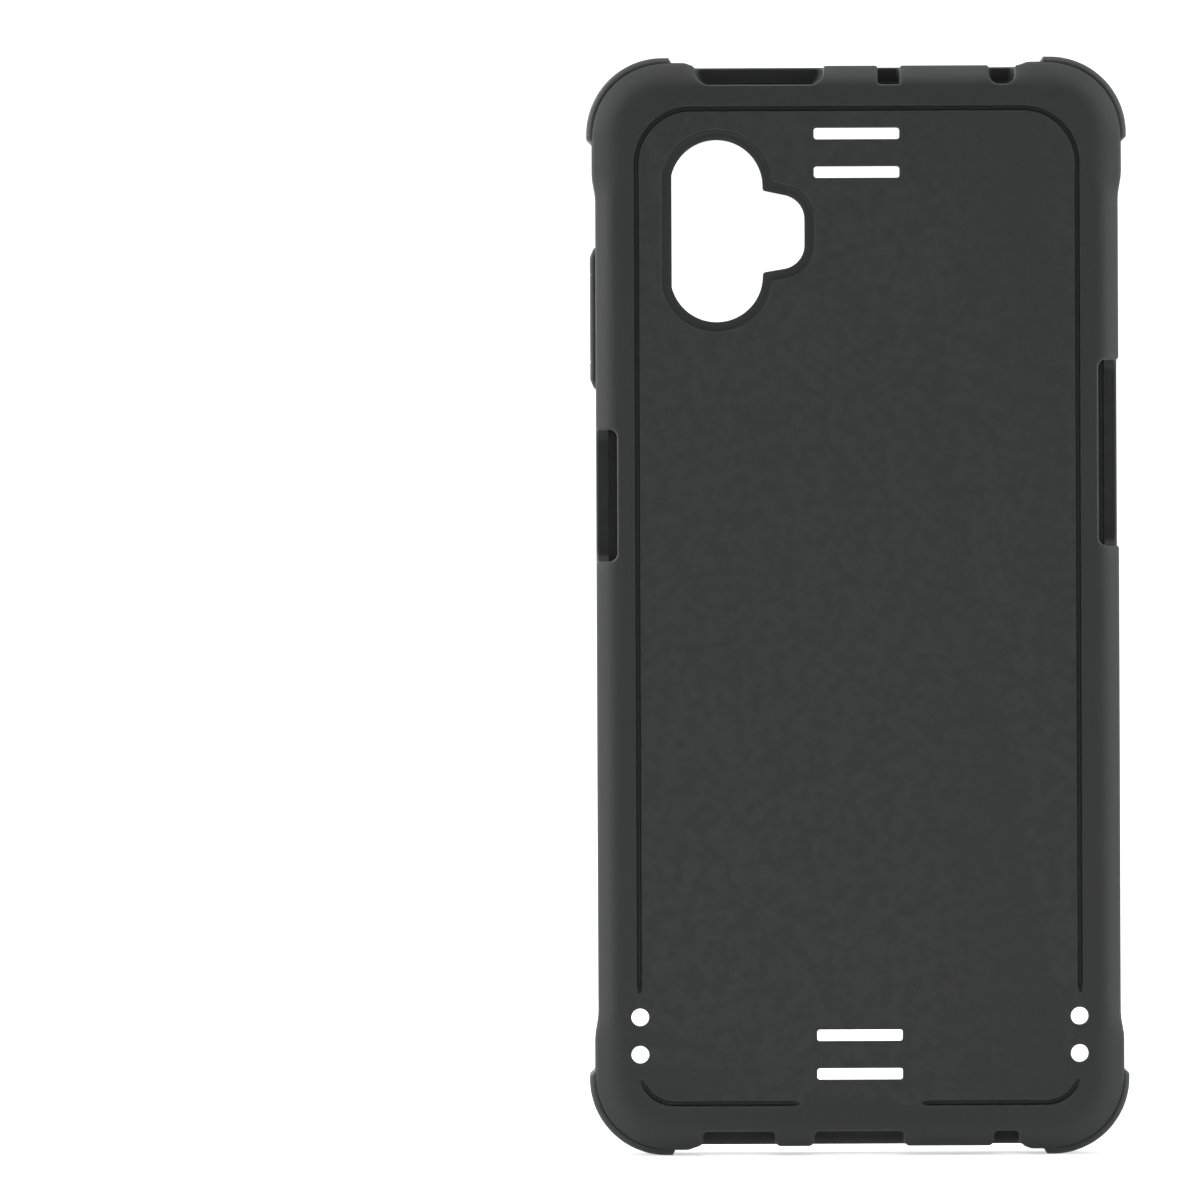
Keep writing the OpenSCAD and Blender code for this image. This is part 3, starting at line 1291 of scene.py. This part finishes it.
    @staticmethod
    def fine_ends(path: np.ndarray) -> np.ndarray:
        """The path with close points over its last millimetre and a half at each end.

        Args:
            path: Rows of x and y.

        Returns:
            The path with its ends drawn more finely.
        """
        run = run_along(path)
        ends = np.array([0.0, 0.08, 0.2, 0.4, 0.65, 0.95, 1.3])
        inner = run[(run > 1.6) & (run < run[-1] - 1.6)]
        at = np.concatenate([ends, inner, run[-1] - ends[::-1]])
        return np.column_stack([np.interp(at, run, path[:, k]) for k in (0, 1)])

    def rocker_room(self) -> list[bpy.types.Object]:
        """Tools for the room that the volume rocker tilts in.

        Returns:
            The cutting solids.
        """
        few = np.linspace(-1.0, 1.0, 9)

        def ring(half_l: float, r: float, grow: float, out: float) -> np.ndarray:
            """One ring of the room, at a distance from the middle plane.

            Args:
                half_l: Half its length along the wall.
                r: Its corner radius.
                grow: How far it is grown.
                out: Its distance from the case's middle plane.

            Returns:
                Rows of x, y and depth.
            """
            half_w = self.room_half_w + grow
            flat = rounded_loop(half_w, half_l + grow, r + grow, np.array([0.0]), few, 14)
            return rocker_ring(flat.points, out)

        half_l, r, flare = self.room_half_l, self.room_half_w - 0.01, self.room_flare
        brim = self.hull.half_w - flare
        mouth = [ring(half_l, r, 0.0, brim - 1.3)]
        for angle in np.radians(np.linspace(0.0, 75.0, 6)):
            grow = flare * (1.0 - math.cos(angle))
            mouth.append(ring(half_l, r, grow, brim + flare * math.sin(angle)))
        mouth.append(ring(half_l, r, flare * 0.75, PAST_WALL))
        inside = [ring(9.1, 0.3, 0.0, out) for out in (38.5, 40.9)]
        return [loft("room_tool", mouth), loft("room_tool", inside)]

    def build(self) -> None:
        """Makes the shell and ties it to the frame."""
        made = self.blank()
        tools = [CameraWindow().tool(self.depth, self.floor)]
        for window in self.windows():
            tools += [window.tool(self.hull), self.lip_tool(window)]
        tools += self.slots() + self.eyes() + self.line_tools() + self.rocker_room()
        carve(made, tools)
        tidy_up(made)
        smooth(made)
        finish_piece(made, "case", ["back_shell"], SHELL)


@dataclass
class FrontRim:
    """The polished rim that laps over the edge of the screen."""

    hull: Hull
    parting: float = 2.8
    crest_in: float = 1.9
    lip: float = 4.5
    lip_low: float = 0.55
    edge: float = 0.9
    notch_half: float = 11.3
    notch_in: float = 2.75
    notch_half_h: float = 1.5
    notch_r: float = 0.7
    swipe_half: float = 28.0
    swipe_in: float = 2.55
    swipe_bend: float = 0.86
    swipe_deep: float = 0.38

    def profile(self) -> list[tuple[float, float, float, float]]:
        """The rim's section.

        Returns:
            Rows of inset, depth, share of the corner swell, and share of the wider low lip.
        """
        rows = [(0.2, self.parting, 1.0, 0.0), (0.0, self.parting - 0.2, 1.0, 0.0)]
        crown = self.parting - 0.25
        for angle in np.linspace(0.0, math.pi / 2, 13)[1:]:
            inset, depth = 1.0 - math.cos(angle), 1.0 - math.sin(angle)
            fade = 0.3 + 0.7 * math.cos(angle)
            rows.append((self.crest_in * inset, crown * depth, fade, 0.0))
        start, fall = self.crest_in, self.parting - self.edge
        reach = self.lip - start
        for share in (0.06, 0.13, 0.22, 0.4, 0.6, 0.8, 0.94):
            drop = fall * (share**1.25 * 0.55 + share * 0.45)
            rows.append((start + reach * share, drop, 0.3 * (1 - share), share))
        rows += [
            (self.lip - 0.03, fall - 0.03, 0.0, 1.0),
            (self.lip, fall + 0.12, 0.0, 1.0),
            (self.lip, self.parting - 0.1, 0.0, 1.0),
            (self.lip - 0.1, self.parting, 0.0, 1.0),
        ]
        return rows

    def blank(self) -> bpy.types.Object:
        """The rim before it is cut.

        Returns:
            The uncut solid.
        """
        hull = self.hull
        low = np.clip(-hull.loop.normals[:, 1], 0.0, 1.0) ** 2
        rings = [
            hull.loop.at_depth(hull.bulge * swell - inset - self.lip_low * low * wide, depth)
            for inset, depth, swell, wide in self.profile()
        ]
        return loft("front_rim", rings, closed=True)

    def slope(self, inset: float) -> float:
        """Depth of the low lip's slope at an inset."""
        reach = self.lip + self.lip_low - self.crest_in
        return (self.parting - self.edge) * (inset - self.crest_in) / reach

    def notch_tool(self) -> bpy.types.Object:
        """The tool for the sound notch in the top lip.

        Returns:
            The cutting solid.
        """
        top = self.hull.half_h
        few = np.linspace(-1.0, 1.0, 5)
        loop = rounded_loop(self.notch_half, self.notch_half_h, self.notch_r, few, few, 8)
        flat = loop.points + np.array([0.0, top - self.notch_in - self.notch_half_h])
        return loft("notch_tool", [flat_ring(flat, depth) for depth in (1.9, 0.9, -1.0)])

    def swipe_tool(self) -> bpy.types.Object:
        """The tool for the shallow recess in the low lip.

        Returns:
            The cutting solid.
        """
        low = -self.hull.half_h
        far = self.lip + self.lip_low + 1.0
        sunk = self.swipe_deep
        near_end = np.linspace(self.swipe_bend, 1.0, 10)
        rings = []
        for share in np.concatenate([-near_end[::-1], near_end]):
            bend = max(0.0, (abs(share) - self.swipe_bend) / (1.0 - self.swipe_bend))
            begin = self.swipe_in + 2.2 * (1.0 - math.sqrt(max(0.0, 1.0 - bend * bend)))
            rows = [
                (begin - 0.25, self.slope(begin - 0.25) - 0.02),
                (begin, self.slope(begin) + sunk * 0.7),
                (begin + 0.35, self.slope(begin + 0.35) + sunk),
                (far, self.slope(far) + sunk),
                (far, -1.0),
                (begin - 0.25, -1.0),
            ]
            x = share * self.swipe_half
            rings.append(np.array([(x, low + inset, depth) for inset, depth in rows]))
        return loft("swipe_tool", rings)

    def build(self) -> None:
        """Makes the rim and ties it to the frame."""
        made = self.blank()
        carve(made, [self.notch_tool(), self.swipe_tool()])
        tidy_up(made)
        soften(made, 0.12, angle=42.0)
        smooth(made, 45.0)
        finish_piece(made, "case", ["front_bezel"], RIM)


@dataclass
class CornerBumper:
    """One of the four bumpers that wrap the corners.

    brow is how far the bumper still stands out where its curved back ends, brow_deep how deep
    the curve is. end_sink is how far the rise drops at either end.
    """

    hull: Hull
    right: bool
    top: bool
    rise: float = 1.4
    seat: float = 1.5
    end_x: float = 29.65
    end_y: float = 74.45
    front: float = 1.63
    back: float = 12.45
    side_slope: float = 0.95
    end_slope: float = 0.5
    end_sink: float = 0.9
    edge: float = 0.42
    brow: float = 0.42
    brow_deep: float = 1.55
    corner_r: float = 1.0

    @property
    def name(self) -> str:
        """The bumper's name, after its corner."""
        return f"bumper_{'top' if self.top else 'bottom'}_{'right' if self.right else 'left'}"

    def path(self) -> tuple[np.ndarray, np.ndarray]:
        """The outline that the bumper follows.

        Returns:
            Points and outward normals, from the side's end round to the other.
        """
        h = self.hull
        run_w, run_h = h.half_w - h.radius, h.half_h - h.radius
        side = [(h.half_w, self.end_y + s) for s in self.end_steps(run_h - self.end_y)]
        end = [(self.end_x + s, h.half_h) for s in self.end_steps(run_w - self.end_x)]
        turn = np.radians(np.linspace(0.0, 90.0, 45))
        unit = [(math.cos(a), math.sin(a)) for a in turn]
        corner = [(run_w + h.radius * c, run_h + h.radius * s) for c, s in unit]
        points = side + corner + end[::-1]
        normals = [(1.0, 0.0)] * len(side) + unit + [(0.0, 1.0)] * len(end)
        return np.array(points), np.array(normals)

    @staticmethod
    def end_steps(length: float) -> list[float]:
        """Distances along a straight run of that length, close together where it begins."""
        steps = [0.0, 0.03, 0.12, 0.27, 0.5, 0.75, 0.95, 1.1, 1.2]
        return [step for step in steps if step < length]

    def section(self, from_end: float, slope: float) -> np.ndarray:
        """The bumper's section.

        Args:
            from_end: Distance from the nearer end.
            slope: How long that end takes to rise.

        Returns:
            Rows of outward distance and depth.
        """
        low = max(0.0, 1.0 - from_end / slope)
        tall = self.rise - self.end_sink * low
        pinch = quarter(self.corner_r, from_end + 0.04)
        front, back = self.front + pinch, self.back - 0.35 * low
        e = self.edge
        rows = [(-self.seat, front), (tall - e * 1.6, front)]
        rows += [
            (tall - e * (1 - math.sin(a)) * 1.1, front + e * (1 - math.cos(a)) * 1.05)
            for a in np.linspace(0.15, math.pi / 2, 5)
        ]
        rows += [(tall, front + 1.2), (tall, HALF_DEPTH), (tall, back - 1.7)]
        fall, deep = tall - self.brow, self.brow_deep
        rows += [
            (tall - fall * (1 - math.cos(a)), back - deep * (1 - math.sin(a)))
            for a in np.radians([12.0, 26.0, 40.0, 54.0, 68.0, 80.0, 90.0])
        ]
        rows += [(0.30, back - 0.10), (-self.seat, back - 0.15)]
        return np.array(rows)

    def build(self) -> None:
        """Makes the bumper and ties it to the frame."""
        points, normals = self.path()
        run = run_along(points)
        flip = np.array([1.0 if self.right else -1.0, 1.0 if self.top else -1.0])
        rings = []
        for point, normal, s in zip(points, normals, run):
            from_end = min(s, run[-1] - s)
            slope = self.side_slope if s == from_end else self.end_slope
            rows = self.section(from_end, slope)
            flat = (point + normal * rows[:, :1]) * flip
            rings.append(np.column_stack([flat, rows[:, 1]]))
        made = loft(self.name, rings)
        soften(made, 0.10, angle=48.0)
        smooth(made)
        made.name = self.name + "_pad"
        finish_piece(made, "case", [self.name], BUMPER)


@dataclass
class VolumeRocker:
    """The rocking key, with its raised pad and the marks on it."""

    half_l: float = 11.5
    half_w: float = 1.85
    face: float = 42.95
    thick: float = 1.8
    crown: float = 0.12
    edge: float = 0.66
    end_fall: float = 0.4
    mark_at: float = 7.0
    mark_l: float = 0.85
    mark_w: float = 0.22
    mark_deep: float = 0.22
    mark_r: float = 0.12
    press_r: float = 1.0
    press_h: float = 0.5

    def ring(self, inset: float, x: float) -> np.ndarray:
        """One ring of the pad.

        Args:
            inset: How far it lies inside the pad's outline.
            x: Its distance from the case's middle plane.

        Returns:
            Rows of x, y and depth.
        """
        few = np.linspace(-1.0, 1.0, 25)
        r = self.half_w - 0.01
        loop = rounded_loop(self.half_w, self.half_l, r, np.array([0.0]), few, 16)
        flat = loop.grown(-inset)
        fall = self.end_fall * ease(self.half_l - 2.0, self.half_l, np.abs(flat[:, 1]))
        high = x - fall * ease(self.face - self.thick + 0.4, self.face - self.edge, x)
        return rocker_ring(flat, high)

    def pad(self) -> bpy.types.Object:
        """The pad before its marks are cut.

        Returns:
            The uncut solid.
        """
        back = self.face - self.thick
        rings = [self.ring(0.2, back), self.ring(0.0, back + 0.2)]
        top = self.face - self.crown
        for angle in np.linspace(0.0, math.pi / 2, 9):
            inset, drop = 1 - math.cos(angle), 1 - math.sin(angle)
            rings.append(self.ring(self.edge * inset, top - self.edge * drop))
        for share in (0.25, 0.5, 0.75, 0.95):
            inset = self.edge + (self.half_w - self.edge - 0.02) * share
            rings.append(self.ring(inset, top + self.crown * math.sin(share * math.pi / 2)))
        return loft("rocker_pad", rings)

    def bar(self, at: float, half_y: float, half_d: float) -> bpy.types.Object:
        """Makes the tool for one bar of a mark.

        Args:
            at: Its place along the rocker from the middle.
            half_y: Half its length along the rocker.
            half_d: Half its length across.

        Returns:
            The cutting solid.
        """
        few = np.linspace(-1.0, 1.0, 2)
        rows = (
            (-0.04, self.face - self.crown - self.mark_deep),
            (0.0, self.face - self.mark_deep * 0.6),
            (0.05, PAST_WALL),
        )
        rings = []
        for grow, x in rows:
            loop = rounded_loop(half_d + grow, half_y + grow, self.mark_r, few, few, 4)
            rings.append(rocker_ring(loop.points, x, at))
        return loft("mark_tool", rings)

    def press_points(self) -> list[bpy.types.Object]:
        """The two studs on the inside that reach the phone's keys.

        Returns:
            The lower stud and the upper one.
        """
        unit, r, foot = round_unit(32), self.press_r, self.face - self.thick
        tip = foot - self.press_h
        rows = ((r - 0.3, tip), (r - 0.07, tip + 0.08), (r, tip + 0.22), (r, foot + 0.3))
        studs = []
        for name, along in (("lower", -self.mark_at), ("upper", self.mark_at)):
            rings = [rocker_ring(unit * wide, out, along) for wide, out in rows]
            studs.append(loft(f"rocker_stud_{name}", rings))
        return studs

    def build(self) -> None:
        """Makes the rocker and ties it to the frame."""
        made = self.pad()
        tools = [
            self.bar(self.mark_at, self.mark_l, self.mark_w),
            self.bar(self.mark_at, self.mark_w, self.mark_l),
            self.bar(-self.mark_at, self.mark_w, self.mark_l),
        ]
        carve(made, tools)
        tidy_up(made)
        smooth(made)
        finish_piece(made, "rocker", ["volume_rocker"], ROCKER)
        for stud in self.press_points():
            smooth(stud)
            finish_piece(stud, "rocker", ["volume_rocker"], ROCKER)


@dataclass
class RockerWeb:
    """The web that carries the rocker, bridging the slots beside it at half its length.

    waist holds its half length at distances from the rocker's middle line.
    """

    face: float = 42.0
    thick: float = 0.76
    edge: float = 0.22
    waist: tuple[Pair, ...] = (
        (0.0, 0.60),
        (1.70, 0.90),
        (1.86, 0.84),
        (2.00, 0.70),
        (2.16, 0.64),
        (2.32, 0.70),
        (2.46, 0.84),
        (2.80, 1.00),
    )

    def build(self) -> None:
        """Makes the web and ties it to the frame."""
        few = np.linspace(-1.0, 1.0, 3)
        rows = [(-at, half) for at, half in self.waist[:0:-1]] + list(self.waist)
        rings = []
        for at, half in rows:
            flat = rounded_loop(half, self.thick / 2, self.edge, few, few, 5).points
            x = flat[:, 1] - self.face + self.thick / 2
            rings.append(flat_ring(np.column_stack([x, flat[:, 0] + ROCKER_UP]), HALF_DEPTH + at))
        made = loft("rocker_bridge", rings)
        smooth(made, 50.0)
        finish_piece(made, "case", ["rocker_web"], SHELL)


# ------------------------------------------------------------------------------- studio


@dataclass(frozen=True)
class Lamp:
    """A soft square lamp: its name, its place and side in metres, and its power in watts."""

    name: str
    at: tuple[float, float, float]
    size: float
    power: float

    def build(self) -> None:
        """Makes the lamp, facing the case."""
        data = bpy.data.lights.new(self.name, "AREA")
        data.shape = "SQUARE"
        data.size = self.size
        data.energy = self.power
        lamp = bpy.data.objects.new(self.name, data)
        lamp.location = self.at
        aim = Vector((0.0, 0.0, CENTRE_UP * MM)) - Vector(self.at)
        lamp.rotation_mode = "QUATERNION"
        lamp.rotation_quaternion = aim.to_track_quat("-Z", "Y")
        lamp.visible_camera = False
        bpy.context.scene.collection.objects.link(lamp)


@dataclass
class Studio:
    """A round paper sweep, an even pale sky and soft lamps, in metres."""

    floor_r: float = 3.6
    sweep_r: float = 1.6
    wall_h: float = 5.0
    around: int = 96
    sky: float = 0.38
    lamps: tuple[Lamp, ...] = (
        Lamp("lamp_left", (-1.6, 0.02, 0.62), 0.8, 22.0),
        Lamp("lamp_right", (1.6, 0.02, 0.62), 0.8, 16.0),
        Lamp("lamp_left_high", (-1.15, 0.03, 1.5), 0.7, 10.0),
        Lamp("lamp_right_high", (1.15, 0.03, 1.5), 0.7, 9.0),
        Lamp("lamp_over", (0.0, -0.02, 2.1), 1.1, 25.0),
        Lamp("lamp_front", (-1.3, 1.9, 0.9), 0.8, 16.0),
    )

    def sweep(self) -> None:
        """Makes the floor, which turns up into a wall all round."""
        section = [(0.0, 0.0), (0.25, 0.0), (0.8, 0.0), (1.8, 0.0), (self.floor_r, 0.0)]
        for a in np.linspace(0.0, math.pi / 2, 17)[1:]:
            section.append(
                (self.floor_r + self.sweep_r * math.sin(a), self.sweep_r * (1 - math.cos(a)))
            )
        section.append((self.floor_r + self.sweep_r, self.wall_h))
        steps = self.around
        work = bmesh.new()
        hub = work.verts.new((0.0, 0.0, 0.0))
        rows = [
            [
                work.verts.new((r * math.cos(t), r * math.sin(t), z))
                for t in np.linspace(0.0, 2.0 * math.pi, steps + 1)[:-1]
            ]
            for r, z in section[1:]
        ]
        for j in range(steps):
            k = (j + 1) % steps
            work.faces.new((hub, rows[0][j], rows[0][k]))
            for low, high in zip(rows, rows[1:]):
                work.faces.new((low[j], high[j], high[k], low[k]))
        mesh = bpy.data.meshes.new("paper_sweep")
        work.to_mesh(mesh)
        work.free()
        mesh.polygons.foreach_set("use_smooth", [True] * len(mesh.polygons))
        mesh.materials.append(PaperSweep().make())
        floor = bpy.data.objects.new("paper_sweep", mesh)
        bpy.context.scene.collection.objects.link(floor)

    def world(self) -> None:
        """Sets an even pale sky."""
        sky = bpy.data.worlds.new("studio_sky")
        sky.use_nodes = True
        back = sky.node_tree.nodes["Background"]
        back.inputs["Color"].default_value = (1.0, 1.0, 1.0, 1.0)
        back.inputs["Strength"].default_value = self.sky
        bpy.context.scene.world = sky

    def build(self) -> None:
        """Makes the whole studio."""
        self.sweep()
        self.world()
        for lamp in self.lamps:
            lamp.build()
        bpy.context.scene.view_settings.view_transform = "Standard"


@dataclass
class MainCamera:
    """The camera: level, straight on to the back panel, the case standing right of the middle.

    distance, aside and height are in metres, lens and sensor in millimetres, lean in degrees.
    """

    distance: float = 1.9
    aside: float = -0.0415
    height: float = 0.0894
    lens: float = 353.5
    sensor: float = 36.0
    lean: float = 0.23

    def build(self) -> None:
        """Makes the camera and hands it to the scene."""
        data = bpy.data.cameras.new("main_camera")
        data.lens = self.lens
        data.sensor_width = self.sensor
        data.clip_start, data.clip_end = 0.05, 60.0
        made = bpy.data.objects.new("main_camera", data)
        made.location = (self.aside, -self.distance, self.height)
        made.rotation_euler = (math.radians(90.0), math.radians(self.lean), 0.0)
        bpy.context.scene.collection.objects.link(made)
        bpy.context.scene.camera = made


def main() -> None:
    """Builds the camera, the studio and the case."""
    logging.basicConfig(level=logging.INFO, format="%(message)s")
    MainCamera().build()
    Studio().build()
    hull = Hull()
    BackShell(hull).build()
    FrontRim(hull).build()
    for top in (True, False):
        for right in (False, True):
            CornerBumper(hull, right, top).build()
    VolumeRocker().build()
    RockerWeb().build()


if __name__ == "__main__":
    main()
